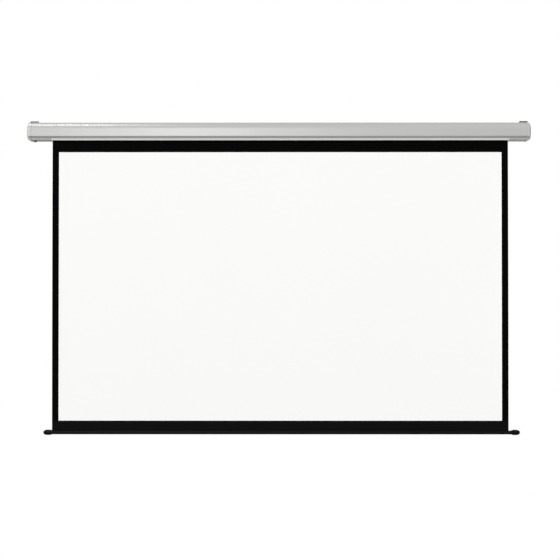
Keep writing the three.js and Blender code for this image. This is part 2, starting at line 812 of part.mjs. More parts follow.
const pinHoles = pawlTurns.map((turn) => pinHole.clone().rotateX(turn));
const leftPlug = rollerPlug(plugFace, spindleRadius + seatGap, pinHoles);
const rightPlug = rollerPlug(rightPlugFace, idleRadius + seatGap, []);
const idlePin = rod(plateStart, idleStand + plateThick + plugFlange + plugHub, idleRadius);
place(scene, "roller_tube", rollerTubeShape(), rollerTube, onAxis);
place(scene, "retainer_strip", retainerStrip(), splinePlastic, { at: [sheetShift, rollerY, 0] });
place(leftEnd, "left_roller_plug", leftPlug, plugPlastic, onAxis);
place(rightEnd, "right_roller_plug", rightPlug, plugPlastic, onAxis);
place(rightEnd, "idle_pin", idlePin, turnedSteel, onAxis);
pawlTurns.forEach((turn, i) => {
  const side = i ? "lower" : "upper";
  place(leftEnd, `pawl_pin_${side}`, pawlPin(), turnedSteel, { ...onAxis, turn: [turn, 0, 0] });
  place(leftEnd, `pawl_${side}`, pawl(), bronze, { ...onAxis, turn: [turn, 0, 0] });
});

// The plug that takes the spring's moving end, fixed in the tube and free on the mandrel.
function drivePlug() {
  const bore = mandrelRadius + seatGap;
  const collar = drivePlugStart + anchorLength;
  const end = collar + drivePlugLength;
  return turned([
    [drivePlugStart, bore],
    [drivePlugStart, bossRadius],
    [collar, bossRadius],
    [collar, hubRadius],
    [end, hubRadius],
    [end, bore],
    [drivePlugStart, bore],
  ]);
}
place(leftEnd, "spring_drive_plug", drivePlug(), plugPlastic, onAxis);

// The turns of sheet that stay on the roller, ending where the sheet leaves it.
function screenRoll() {
  const steps = Math.round(roundSides * windTurns);
  const outside = [];
  const inside = [];
  for (let i = 0; i <= steps; i += 1) {
    const angle = (2 * Math.PI * i) / roundSides;
    const radius = windRadius - (windPitch * i) / roundSides;
    const spot = (r) => point(-r * Math.cos(angle), r * Math.sin(angle));
    outside.push(spot(radius + sheetThick / 2));
    inside.push(spot(radius - sheetThick / 2));
  }
  return extrude([...outside, ...inside.reverse()], -sheetWidth / 2, sheetWidth);
}
place(scene, "screen_roll", screenRoll(), screenWhite, { at: [sheetShift, rollerY, 0] });

// The sheet hangs flat from the roller; its lowest border goes with the bar.
const sheet = block(
  [sheetLeft, sheetY - sheetThick / 2, imageBottom + seatGap],
  [sheetRight, sheetY + sheetThick / 2, -seatGap],
);
place(scene, "screen_sheet", sheet, screenWhite);

// Black masking on the sheet's face, above the picture and at both sides of it.
const maskY = sheetY - sheetThick / 2 - seatGap - maskThick;
for (const [name, left, right, low, high] of [
  ["black_drop", sheetLeft, sheetRight, imageTop, -seatGap],
  ["left_border", sheetLeft, sheetLeft + sideBorder, imageBottom + seatGap, imageTop - seatGap],
  ["right_border", sheetRight - sideBorder, sheetRight, imageBottom + seatGap, imageTop - seatGap],
]) {
  place(scene, name, block([left, maskY, low], [right, maskY + maskThick, high]), borderBlack);
}

// The lower border, with the loop at its edge that holds the spline.
const hemCentre = point(sheetY, barTop - hemDrop);
function lowerBorderStrip() {
  const half = Math.asin(sheetThick / 2 / hemRadius);
  const loop = arc(hemCentre, hemRadius, quarter + half, quarter - half + 2 * Math.PI, smallSides);
  const outline = [
    point(sheetY + sheetThick / 2, imageBottom),
    point(sheetY - sheetThick / 2, imageBottom),
    ...loop,
  ];
  const inner = circle(hemCentre, splineRadius + seatGap, smallSides);
  return extrude(outline, sheetLeft, sheetWidth, [inner]);
}

// A rectangle with rounded corners, in depth and height.
function roundedOutline(middle, depth, height, radius, steps) {
  const corners = [[1, -1], [1, 1], [-1, 1], [-1, -1]];
  return corners.flatMap(([y, z], i) => {
    const centre = point(middle.x + y * (depth / 2 - radius), middle.y + z * (height / 2 - radius));
    return arc(centre, radius, (i - 1) * quarter, i * quarter, steps);
  });
}

const rivetPlaces = [-rivetOffset, rivetOffset];
const rivetHole = new THREE.CylinderGeometry(
  rivetRadius + seatGap,
  rivetRadius + seatGap,
  2 * overrun,
  smallSides,
);

function weightBar() {
  const rounded = roundedOutline(point(sheetY, barMiddle), barDepth, barHeight, barCorner, cornerSteps);
  const half = Math.asin(hemSlot / 2 / hemCavity);
  const keyhole = arc(hemCentre, hemCavity, quarter - half, -3 * quarter + half, roundSides);
  const slot = [
    point(sheetY + hemSlot / 2, barTop),
    ...keyhole,
    point(sheetY - hemSlot / 2, barTop),
  ];
  const cornerPoints = cornerSteps + 1;
  const outline = [
    ...rounded.slice(0, 2 * cornerPoints),
    ...slot,
    ...rounded.slice(2 * cornerPoints),
  ];
  const holes = [-1, 1].map((side) =>
    circle(point(sheetY + side * ballastOffset, barMiddle), ballastRadius + seatGap, smallSides),
  );
  const bar = extrude(outline, barShift - barLength / 2, barLength, holes);
  const rivetHoles = rivetPlaces.map((x) => rivetHole.clone().translate(barShift + x, barBack, barMiddle));
  return cut(bar, ...rivetHoles);
}

function barCap() {
  const middle = point(sheetY, barMiddle + barCapRise);
  const outline = roundedOutline(middle, barCapDepth, barCapHeight, barCapCorner, 2 * cornerSteps);
  const inner = point(sheetY, barMiddle);
  const collar = roundedOutline(inner, barCapDepth, collarHeight, collarCorner, 2 * cornerSteps);
  const body = loft([
    ...domeRings(outline, middle, barCapDome, barCapFlatShare),
    { x: barCapLength - collarLength, points: outline },
    { x: barCapLength, points: collar },
  ]);
  const pocket = extrude(
    roundedOutline(
      inner,
      barDepth + 2 * seatGap,
      barHeight + 2 * seatGap,
      barCorner + seatGap,
      cornerSteps,
    ),
    barCapLength - barCapPocket - seatGap,
    barCapPocket + overrun,
  );
  return cut(body, pocket);
}

place(scene, "sheet_lower_border", lowerBorderStrip(), borderBlack);
place(scene, "weight_bar", weightBar(), barPaint);
const spline = rod(sheetLeft, sheetWidth, splineRadius, smallSides);
place(scene, "hem_spline", spline, splinePlastic, { at: [0, hemCentre.x, hemCentre.y] });
["front", "rear"].forEach((name, i) => {
  const length = barLength - 2 * barCapPocket;
  const ballast = rod(barShift - length / 2, length, ballastRadius, smallSides);
  const y = sheetY + (i ? 1 : -1) * ballastOffset;
  place(scene, `ballast_rod_${name}`, ballast, turnedSteel, { at: [0, y, barMiddle] });
});
const leftBarEnd = new THREE.Group();
leftBarEnd.position.x = barShift - barOverall / 2;
const rightBarEnd = new THREE.Group();
rightBarEnd.position.x = barShift + barOverall / 2;
rightBarEnd.scale.x = -1;
scene.add(leftBarEnd, rightBarEnd);
place(leftBarEnd, "left_bar_cap", barCap(), capBlack);
place(rightBarEnd, "right_bar_cap", barCap(), capBlack);

// The bail's bracket on the back of the bar, with a lug at each end.
function bailBracket() {
  const back = barBack + seatGap;
  const half = lugHeight / 2;
  const plate = block([-lugPlateHalf, back, -half], [lugPlateHalf, back + lugPlate, half]);
  const lugs = [-lugPlateHalf, lugPlateHalf - lugWidth].flatMap((x) => [
    block([x, back, -half], [x + lugWidth, bailPivotY, half]),
    rod(x, lugWidth, half).translate(0, bailPivotY, 0),
  ]);
  const boreHalf = lugPlateHalf + overrun;
  const bore = rod(-boreHalf, 2 * boreHalf, bailWire + seatGap).translate(0, bailPivotY, 0);
  const rivetHoles = rivetPlaces.map((x) => rivetHole.clone().translate(x, back + lugPlate / 2, 0));
  return cut(joined(plate, ...lugs), bore, ...rivetHoles);
}

// A path through the corners, each rounded off over its own length.
function roundedPath(corners, lengths) {
  const path = new THREE.CurvePath();
  let from = corners[0];
  lengths.forEach((length, i) => {
    const corner = corners[i + 1];
    const towards = (other) => corner.clone().add(other.clone().sub(corner).setLength(length));
    const start = towards(corners[i]);
    const end = towards(corners[i + 2]);
    path.add(new THREE.LineCurve3(from, start));
    path.add(new THREE.QuadraticBezierCurve3(start, corner, end));
    from = end;
  });
  path.add(new THREE.LineCurve3(from, corners.at(-1)));
  return path;
}

// One bent wire: ends through the lugs, legs outside them and the grip across, folded back level.
function pullBail() {
  const spot = (x, y) => new THREE.Vector3(x, y, 0);
  const hook = bailHalf - bailHook;
  const corners = [
    spot(-hook, 0),
    spot(-bailHalf, 0),
    spot(-bailHalf, bailReach),
    spot(bailHalf, bailReach),
    spot(bailHalf, 0),
    spot(hook, 0),
  ];
  const path = roundedPath(corners, [bailHookCorner, bailCorner, bailCorner, bailHookCorner]);
  const wire = new THREE.Shape(circle(point(0, 0), bailWire, bailSides));
  return new THREE.ExtrudeGeometry(wire, { steps: bailSteps, bevelEnabled: false, extrudePath: path });
}

function rivet() {
  const shank = lugPlate + 2 * seatGap + rivetGrip;
  return turned(
    [
      [-rivetHeadHeight, 0],
      [-rivetHeadHeight, rivetHead * crownShare],
      [-rivetHeadHeight * rivetRimShare, rivetHead],
      [0, rivetHead],
      [0, rivetRadius],
      [shank, rivetRadius],
      [shank, 0],
    ],
    smallSides,
  );
}

place(scene, "bail_bracket", bailBracket(), zincSteel, { at: [barShift, 0, barMiddle] });
place(scene, "pull_bail", pullBail(), zincSteel, { at: [barShift, bailPivotY, barMiddle] });
rivetPlaces.forEach((x, i) => {
  const at = [barShift + x, barBack + lugPlate + 2 * seatGap, barMiddle];
  const name = `bail_rivet_${i ? "right" : "left"}`;
  place(scene, name, rivet(), zincSteel, { at, turn: [0, 0, -quarter] });
});

export default scene;
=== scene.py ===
# A pull down projector screen: spring roller case, white sheet with a black border, weight bar and bail.
# Outlines are drawn in millimetres, in depth and height, and every mesh is made in metres.
import json
import math
import bmesh
import bpy
from mathutils import Matrix, Vector, noise


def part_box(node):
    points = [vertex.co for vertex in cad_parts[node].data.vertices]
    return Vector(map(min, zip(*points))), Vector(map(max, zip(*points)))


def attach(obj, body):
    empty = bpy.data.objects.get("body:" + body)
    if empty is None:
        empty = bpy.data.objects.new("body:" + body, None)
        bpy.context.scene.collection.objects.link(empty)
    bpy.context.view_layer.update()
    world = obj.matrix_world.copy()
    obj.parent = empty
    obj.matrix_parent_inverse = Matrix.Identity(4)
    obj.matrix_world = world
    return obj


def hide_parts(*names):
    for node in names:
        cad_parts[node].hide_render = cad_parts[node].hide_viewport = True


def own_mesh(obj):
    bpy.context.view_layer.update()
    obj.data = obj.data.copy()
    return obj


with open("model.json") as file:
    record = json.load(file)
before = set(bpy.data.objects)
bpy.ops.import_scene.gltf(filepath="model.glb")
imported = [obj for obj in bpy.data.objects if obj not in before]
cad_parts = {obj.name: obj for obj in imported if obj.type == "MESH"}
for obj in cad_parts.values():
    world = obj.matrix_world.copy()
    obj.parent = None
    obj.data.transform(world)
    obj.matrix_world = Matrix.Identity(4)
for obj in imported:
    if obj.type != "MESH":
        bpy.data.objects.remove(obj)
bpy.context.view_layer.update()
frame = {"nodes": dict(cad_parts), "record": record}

mm = 0.001
weld = 0.0005  # points closer than this, in millimetres, are one
overrun = 3  # how far a cut runs past what it cuts
seatGap = 0.3  # between pieces that touch
roundSteps = 48  # sides of what is turned
cornerSteps = 8  # of each rounded corner of a bar's section
sharpAngle = 35  # edges that turn further than this stay sharp, in degrees
easeSteps = 2  # of each eased edge
curveTurn = 15  # a point of an outline that turns less only follows a curve, in degrees
sides = (("left", 1), ("right", -1))


def corners(node):  # a node's lowest and highest corner in millimetres
    low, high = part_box(node)
    return low / mm, high / mm


# Outlines: lists of points in depth and height

def arc(centre, radius, start, end, steps):
    turns = [math.radians(start + (end - start) * i / steps) for i in range(steps + 1)]
    return [Vector((centre[0] + radius * math.cos(a), centre[1] + radius * math.sin(a))) for a in turns]


# Rounds off each real corner with a tangent arc; points that only follow a curve stay.
def rounded(points, radius, closed=False, steps=5):
    path = []
    last = len(points) - 1
    for i, here in enumerate(points):
        before = (points[i - 1] - here).normalized()
        after = (points[(i + 1) % len(points)] - here).normalized()
        opening = before.angle(after)
        if (not closed and i in (0, last)) or math.degrees(math.pi - opening) < curveTurn:
            path.append(here.copy())
            continue
        middle = here + (before + after).normalized() * radius / math.sin(opening / 2)
        start = here + before * radius / math.tan(opening / 2) - middle
        sweep = start.angle_signed(here + after * radius / math.tan(opening / 2) - middle)
        for k in range(steps + 1):
            turn = -sweep * k / steps
            spun = (start.x * math.cos(turn) - start.y * math.sin(turn),
                    start.x * math.sin(turn) + start.y * math.cos(turn))
            path.append(middle + Vector(spun))
    return path


# Moves an outline sideways, to the left of its direction.
def offset(points, distance, closed=False):
    moved = []
    last = len(points) - 1
    for i, here in enumerate(points):
        ways = []
        if closed or i > 0:
            ways.append((here - points[i - 1]).orthogonal().normalized())
        if closed or i < last:
            ways.append((points[(i + 1) % len(points)] - here).orthogonal().normalized())
        moved.append(here + (ways[0] + ways[-1]) * distance / (1 + ways[0].dot(ways[-1])))
    return moved


def folded(path, thickness):  # folded sheet metal whose outer face follows the path
    return path + offset(path, thickness)[::-1]


def box2d(middle, depth, height, radius):  # a rectangle with rounded corners
    y, z = middle
    square = [(depth / 2, -height / 2), (depth / 2, height / 2), (-depth / 2, height / 2),
              (-depth / 2, -height / 2)]
    return rounded([Vector((y + a, z + b)) for a, b in square], radius, closed=True, steps=cornerSteps)


# Shapes: points in space and the faces on them

def skinned(rings, ends=True):  # joins rings of equal length
    count = len(rings[0])
    points = [p for ring in rings for p in ring]
    faces = []
    for r in range(len(rings) - 1):
        for i in range(count):
            a, b = r * count + i, r * count + (i + 1) % count
            faces.append((a, b, b + count, a + count))
    if ends:
        faces.append(tuple(range(count)))
        faces.append(tuple(range(len(points) - count, len(points))))
    return points, faces


def lofted(rings):  # outlines, each at its own X
    return skinned([[Vector((x, p.x, p.y)) for p in outline] for x, outline in rings])


def extruded(outline, start, end):
    return lofted([(start, outline), (end, outline)])


def turned(profile):  # distances along X and radii, from the axis back to the axis
    spin = [2 * math.pi * i / roundSteps for i in range(roundSteps)]
    rings = [[Vector((x, r * math.cos(a), r * math.sin(a))) for a in spin] for x, r in profile]
    return skinned(rings, ends=False)


def rod(start, end, radius):
    return turned([(start, 0), (start, radius), (end, radius), (end, 0)])


def block(low, high):
    outline = [(low[1], low[2]), (high[1], low[2]), (high[1], high[2]), (low[1], high[2])]
    return extruded([Vector(p) for p in outline], low[0], high[0])


def swept(route, radius, wireSides):  # a round wire along a route
    rings = []
    up = None
    for i, here in enumerate(route):
        ahead = (route[min(i + 1, len(route) - 1)] - route[max(i - 1, 0)]).normalized()
        up = ahead.orthogonal() if up is None else up
        up = (up - ahead * up.dot(ahead)).normalized()
        side = ahead.cross(up)
        spin = [2 * math.pi * k / wireSides for k in range(wireSides)]
        rings.append([here + radius * (up * math.cos(a) + side * math.sin(a)) for a in spin])
    return skinned(rings)


def placed(shape, matrix):
    return [matrix @ Vector(p) for p in shape[0]], shape[1]


def shifted(shape, x, y, z=0):
    return placed(shape, Matrix.Translation((x, y, z)))


# Objects

def solid(name, shape):
    mesh = bpy.data.meshes.new(name)
    mesh.from_pydata([Vector(p) * mm for p in shape[0]], [], shape[1])
    tidy = bmesh.new()
    tidy.from_mesh(mesh)
    bmesh.ops.remove_doubles(tidy, verts=tidy.verts, dist=weld * mm)
    bmesh.ops.recalc_face_normals(tidy, faces=tidy.faces)
    tidy.to_mesh(mesh)
    tidy.free()
    piece = bpy.data.objects.new(name, mesh)
    bpy.context.scene.collection.objects.link(piece)
    return piece


def settled(piece):  # applies what its modifiers make
    depsgraph = bpy.context.evaluated_depsgraph_get()
    piece.data = bpy.data.meshes.new_from_object(piece.evaluated_get(depsgraph))
    piece.modifiers.clear()
    return piece


def carved(piece, shapes, how="DIFFERENCE"):  # cuts shapes out of a piece, or joins them to it
    for shape in shapes:
        tool = solid("tool", shape)
        change = piece.modifiers.new("change", "BOOLEAN")
        change.object = tool
        change.operation = how
        change.solver = "EXACT"
        settled(piece)
        bpy.data.objects.remove(tool)
    return piece


# The last step of every piece: eased edges, smooth shading, finish, body and the nodes it stands for.
def finished(piece, body, slot, replaced, ease=0, coat=None):
    if ease:
        easing = piece.modifiers.new("ease", "BEVEL")
        easing.width = ease * mm
        easing.segments = easeSteps
        easing.limit_method = "ANGLE"
        easing.angle_limit = math.radians(sharpAngle)
        settled(piece)
    piece.data.shade_smooth()
    piece.data.set_sharp_from_angle(angle=math.radians(sharpAngle))
    if ease:  # keeps the shading of flat faces flat, beside eased edges
        piece.modifiers.new("weigh", "WEIGHTED_NORMAL").keep_sharp = True
        settled(piece)
    piece.data.materials.clear()
    piece.data.materials.append(coats[coat or slot])
    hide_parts(*replaced)
    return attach(piece, body)


# Materials

def linear(hexText):  # an sRGB hex colour as linear values
    parts = [int(hexText[i:i + 2], 16) / 255 for i in (1, 3, 5)]
    return [c / 12.92 if c <= 0.04045 else ((c + 0.055) / 1.055) ** 2.4 for c in parts] + [1]


def perMetre(size):  # the scale of a noise or cell pattern whose marks are that many millimetres apart
    return 1 / (size * mm)


waveUnit = 2 * math.pi / 20  # from band to band of a wave pattern at scale 1


def bandScale(pitch):  # the scale of a wave pattern with that many millimetres from band to band
    return waveUnit / (pitch * mm)


def add(tree, kind, settings=None, links=None):
    node = tree.nodes.new(kind)
    for key, value in (settings or {}).items():
        if isinstance(key, int) or key in node.inputs:
            node.inputs[key].default_value = value
        else:
            setattr(node, key, value)
    for key, socket in (links or {}).items():
        tree.links.new(socket, node.inputs[key])
    return node


def newCoat(name, look):
    material = bpy.data.materials.new(name)
    material.use_nodes = True
    tree = material.node_tree
    tree.nodes.clear()
    surface = add(tree, "ShaderNodeBsdfPrincipled", {
        "Base Color": linear(look["colour"]), "Roughness": look["roughness"],
        "Metallic": look.get("metallic", 0), "IOR": look.get("ior", 1.5),
        "Specular IOR Level": look.get("specular", 0.5),
    })
    add(tree, "ShaderNodeOutputMaterial", links={"Surface": surface.outputs["BSDF"]})
    return material, tree, surface


# Where on the piece a pattern is, in metres, stretched along X for what was drawn or rolled that way.
def spots(tree, stretch):
    coordinates = add(tree, "ShaderNodeTexCoord").outputs["Object"]
    if stretch == 1:
        return coordinates
    return add(tree, "ShaderNodeMapping", {"Scale": (1 / stretch, 1, 1)}, {"Vector": coordinates}).outputs[0]


# Two colours and a range of roughness that drift with one broad noise.
def drift(tree, surface, look, where):
    cloud = add(tree, "ShaderNodeTexNoise", {"Scale": perMetre(look["driftSize"]), "Detail": 3},
                {"Vector": where}).outputs["Fac"]
    blend = add(tree, "ShaderNodeMix", {
        "data_type": "RGBA", 6: linear(look["colour"]), 7: linear(look["driftColour"]),
    }, {0: cloud})
    tree.links.new(blend.outputs[2], surface.inputs["Base Color"])
    rough = add(tree, "ShaderNodeMapRange", {
        "To Min": look["roughness"] - look["roughSpread"], "To Max": look["roughness"] + look["roughSpread"],
    }, {"Value": cloud})
    tree.links.new(rough.outputs[0], surface.inputs["Roughness"])


def coated(name, look):  # how every finish starts: its colours, and where its patterns are
    material, tree, surface = newCoat(name, look)
    where = spots(tree, look.get("stretch", 1))
    drift(tree, surface, look, where)
    return material, tree, surface, where


def relief(tree, surface, look, height):  # turns a pattern into height, in millimetres
    bump = add(tree, "ShaderNodeBump", {"Distance": look["reliefDepth"] * mm, "Strength": look["relief"]},
               {"Height": height})
    tree.links.new(bump.outputs["Normal"], surface.inputs["Normal"])


# Polyester powder baked on cold rolled steel: satin, with a fine orange peel from the melting powder.
def powderCoat(name, look):
    material, tree, surface, where = coated(name, look)
    peel = add(tree, "ShaderNodeTexNoise", {"Scale": perMetre(look["grain"]), "Detail": 2},
               {"Vector": where})
    relief(tree, surface, look, peel.outputs["Fac"])
    return material


# Injection moulded plastic: the spark eroded grain of the mould gives a soft, even sheen.
def mouldedPlastic(name, look):
    material, tree, surface, where = coated(name, look)
    cells = add(tree, "ShaderNodeTexVoronoi", {"feature": "SMOOTH_F1", "Scale": perMetre(look["grain"])},
                {"Vector": where})
    relief(tree, surface, look, cells.outputs["Distance"])
    return material


# PVC or anodised aluminium, extruded: faint die lines run along the length and draw the highlights out.
def dieDrawn(name, look):
    material, tree, surface, where = coated(name, look)
    lines = add(tree, "ShaderNodeTexNoise", {"Scale": perMetre(look["grain"]), "Detail": 3},
                {"Vector": where})
    relief(tree, surface, look, lines.outputs["Fac"])
    return material


# Steel with a thin skin of zinc or black oxide: a faint mottle of crystals in a soft metal sheen.
def platedSteel(name, look):
    material, tree, surface, where = coated(name, look)
    crystals = add(tree, "ShaderNodeTexVoronoi", {"Scale": perMetre(look["grain"])}, {"Vector": where})
    relief(tree, surface, look, crystals.outputs["Distance"])
    return material


# Steel turned or drawn about the X axis: fine rings that spread the light along the axis.
def turnedMetal(name, look):
    material, tree, surface, where = coated(name, look)
    rings = add(tree, "ShaderNodeTexWave", {
        "bands_direction": "X", "Scale": bandScale(look["grain"]), "Distortion": look["waver"],
        "Detail": 2,
    }, {"Vector": where})
    relief(tree, surface, look, rings.outputs["Fac"])
    return material


# Cast bronze: a dull skin with fine pits from the sand, brighter where it was rubbed.
def castBronze(name, look):
    material, tree, surface, where = coated(name, look)
    pits = add(tree, "ShaderNodeTexNoise", {"Scale": perMetre(look["grain"]), "Detail": 5},
               {"Vector": where})
    relief(tree, surface, look, pits.outputs["Fac"])
    return material


# Woven glass fibre coated with soft vinyl: quite matt, with the weave just felt under the coat.
def coatedFabric(name, look):
    material, tree, surface, where = coated(name, look)
    threads = [add(tree, "ShaderNodeTexWave", {
        "bands_direction": direction, "wave_profile": "SIN", "Scale": bandScale(look["grain"]),
    }, {"Vector": where}).outputs["Fac"] for direction in ("X", "Z")]
    weave = add(tree, "ShaderNodeMath", {"operation": "MAXIMUM"}, {0: threads[0], 1: threads[1]})
    relief(tree, surface, look, weave.outputs[0])
    return material


# Grain is the size of each pattern's marks in millimetres. The weave, mould grain, die lines, crystals and
# turning marks are finer on the real pieces, and are drawn coarser here so that they show from near.
zinc = {
    "colour": "#8D9093", "driftColour": "#80848A", "driftSize": 9, "roughness": 0.26,
    "roughSpread": 0.05, "metallic": 1, "grain": 1.6, "relief": 0.2, "reliefDepth": 0.02,
}
blackPrint = {
    "colour": "#050506", "driftColour": "#080809", "driftSize": 180, "roughness": 0.92,
    "roughSpread": 0.03, "ior": 1.45, "specular": 0.02, "grain": 1.2, "relief": 0.2, "reliefDepth": 0.03,
}
coats = {
    "case_paint": powderCoat("case_powder_coat", {
        "colour": "#B9B9B7", "driftColour": "#B5B5B3", "driftSize": 260, "roughness": 0.36,
        "roughSpread": 0.03, "ior": 1.5, "grain": 1.8, "relief": 0.3, "reliefDepth": 0.05,
    }),
    "cap_plastic": mouldedPlastic("end_cap_abs", {
        "colour": "#BEBEBC", "driftColour": "#BABAB8", "driftSize": 60, "roughness": 0.3,
        "roughSpread": 0.03, "ior": 1.54, "grain": 0.8, "relief": 0.3, "reliefDepth": 0.04,
    }),
    "trim_plastic": dieDrawn("lip_edging_pvc", {
        "colour": "#DEDEDC", "driftColour": "#D8D8D5", "driftSize": 40, "roughness": 0.4,
        "roughSpread": 0.05, "ior": 1.53, "grain": 0.5, "relief": 0.25, "reliefDepth": 0.03, "stretch": 60,
    }),
    "zinc_steel": platedSteel("zinc_plated_steel", zinc),
    "ear": platedSteel("zinc_ear_painted_shade", {  # a darker copy of the zinc: painted shade, so that the ears show as dark strips
        **zinc, "colour": "#4E5053", "driftColour": "#45474A", "roughness": 0.42,
    }),
    "black_steel": platedSteel("black_oxide_steel", {
        "colour": "#141414", "driftColour": "#1D1C1B", "driftSize": 4, "roughness": 0.5,
        "roughSpread": 0.12, "ior": 1.6, "grain": 0.4, "relief": 0.3, "reliefDepth": 0.02,
    }),
    "turned_steel": turnedMetal("turned_steel", {
        "colour": "#B7B9BB", "driftColour": "#A2A5A8", "driftSize": 12, "roughness": 0.32,
        "roughSpread": 0.08, "metallic": 1, "grain": 0.4, "waver": 0.6, "relief": 0.25, "reliefDepth": 0.02,
    }),
    "spring_steel": turnedMetal("oiled_spring_wire", {
        "colour": "#5E6065", "driftColour": "#45474C", "driftSize": 6, "roughness": 0.3,
        "roughSpread": 0.1, "metallic": 1, "grain": 0.5, "waver": 2, "relief": 0.2, "reliefDepth": 0.02,
    }),
    "tube_steel": turnedMetal("galvanised_tube", {
        "colour": "#BFC3C8", "driftColour": "#A9AFB6", "driftSize": 14, "roughness": 0.4,
        "roughSpread": 0.1, "metallic": 1, "grain": 6, "waver": 6, "relief": 0.15, "reliefDepth": 0.03,
    }),
    "plug_plastic": mouldedPlastic("roller_plug_nylon", {
        "colour": "#2C2D2F", "driftColour": "#343537", "driftSize": 20, "roughness": 0.55,
        "roughSpread": 0.06, "ior": 1.53, "grain": 0.7, "relief": 0.35, "reliefDepth": 0.04,
    }),
    "pawl_bronze": castBronze("pawl_bronze", {
        "colour": "#B08A4E", "driftColour": "#8E6C3A", "driftSize": 3, "roughness": 0.42,
        "roughSpread": 0.12, "metallic": 1, "grain": 0.5, "relief": 0.4, "reliefDepth": 0.03,
    }),
    "screen_white": coatedFabric("matt_white_vinyl", {
        "colour": "#FCFCFB", "driftColour": "#FBFBFA", "driftSize": 320, "roughness": 0.88,
        "roughSpread": 0.04, "ior": 1.5, "specular": 0.25, "grain": 1.2, "relief": 0.2, "reliefDepth": 0.03,
    }),
    "border_black": coatedFabric("matt_black_print", blackPrint),
    "lower_border": coatedFabric("matt_black_hem_painted_light", {  # a lighter copy of the black print: painted light, so that this border shows a little lighter
        **blackPrint, "colour": "#0F0F10", "driftColour": "#131314",
    }),
    "bar_paint": dieDrawn("black_anodised_bar", {
        "colour": "#0A0A0B", "driftColour": "#0E0E0F", "driftSize": 140, "roughness": 0.45,
        "roughSpread": 0.06, "ior": 1.5, "specular": 0.06, "grain": 0.6, "relief": 0.25, "reliefDepth": 0.02,
        "stretch": 60,
    }),
    "bar_cap_plastic": mouldedPlastic("bar_cap_abs", {
        "colour": "#060607", "driftColour": "#0A0A0B", "driftSize": 30, "roughness": 0.42,
        "roughSpread": 0.05, "ior": 1.53, "specular": 0.06, "grain": 0.8, "relief": 0.3, "reliefDepth": 0.04,
    }),
    "spline_plastic": dieDrawn("spline_pvc", {
        "colour": "#DCDCD8", "driftColour": "#D2D2CD", "driftSize": 40, "roughness": 0.5,
        "roughSpread": 0.05, "ior": 1.53, "grain": 0.4, "relief": 0.3, "reliefDepth": 0.03, "stretch": 60,
    }),
}
for part in frame["record"]["subparts"]:
    frame["nodes"][part["node"]].material_slots[0].material = coats[part["material_slot"]]
print("materials made:", len(coats))


# Camera, lights and floor

camera = {"place": (20.6, -5045.5, -670.9), "pitch": 0.7163, "yaw": 0.1801, "focal": 1222.5, "image": 560,
          "sensor": 36, "clipEnd": 100}
lens = bpy.data.cameras.new("camera")
lens.sensor_width = camera["sensor"]
lens.lens = camera["focal"] * camera["sensor"] / camera["image"]
lens.clip_end = camera["clipEnd"]
eye = bpy.data.objects.new("camera", lens)
eye.location = Vector(camera["place"]) * mm
eye.rotation_euler = (math.radians(90 + camera["pitch"]), 0, math.radians(camera["yaw"]))
bpy.context.scene.collection.objects.link(eye)
bpy.context.scene.camera = eye
bpy.context.scene.view_settings.view_transform = "Standard"

studio = {"sunStrength": 2.58, "sunAngle": 25, "sunHeight": 20, "sunSide": 25, "sky": 0.31,
          "floorLevel": -2100, "floorReach": (-2200, 400), "floorHalf": 2600,
          "floorColour": "#FAFAF8", "floorBounce": "#777776", "floorGlow": 0.25}
softboxes = {  # each is seen only as a reflection, and lights nothing by itself
    "front": {"place": (-850, -5000, 650), "aim": (-400, 0, 0), "size": 1400, "power": 130},
    "above": {"place": (-1150, -530, 1655), "aim": (-850, -60, 25), "size": 600, "power": 25},
    "side": {"place": (-4100, -2650, 600), "aim": (-1030, -40, 0), "size": 1500, "power": 120},
}


def addSun():
    lamp = bpy.data.lights.new("key", "SUN")
    lamp.energy = studio["sunStrength"]
    lamp.angle = math.radians(studio["sunAngle"])
    key = bpy.data.objects.new("key", lamp)
    key.rotation_euler = (math.radians(90 - studio["sunHeight"]), 0, math.radians(-studio["sunSide"]))
    key.visible_glossy = False
    bpy.context.scene.collection.objects.link(key)


def addSoftbox(name, look):
    lamp = bpy.data.lights.new(name, "AREA")
    lamp.size = look["size"] * mm
    lamp.energy = look["power"]
    box = bpy.data.objects.new(name, lamp)
    box.location = Vector(look["place"]) * mm
    box.rotation_euler = (Vector(look["aim"]) - Vector(look["place"])).to_track_quat("-Z", "Y").to_euler()
    box.visible_diffuse = False
    bpy.context.scene.collection.objects.link(box)


def addSky():  # white behind the object, and a plain level of light on it
    world = bpy.data.worlds.new("studio")
    bpy.context.scene.world = world
    world.use_nodes = True
    tree = world.node_tree
    tree.nodes.clear()
    rays = add(tree, "ShaderNodeLightPath")
    clear = add(tree, "ShaderNodeMath", {"operation": "MAXIMUM"},
                {0: rays.outputs["Is Camera Ray"], 1: rays.outputs["Is Transmission Ray"]})
    shown = add(tree, "ShaderNodeMath", {"operation": "MAXIMUM"},
                {0: clear.outputs[0], 1: rays.outputs["Is Glossy Ray"]})
    strength = add(tree, "ShaderNodeMapRange", {"To Min": studio["sky"], "To Max": 1},
                   {"Value": shown.outputs[0]})
    sky = add(tree, "ShaderNodeBackground", {"Color": linear("#FFFFFF")}, {"Strength": strength.outputs[0]})
    add(tree, "ShaderNodeOutputWorld", links={"Surface": sky.outputs[0]})


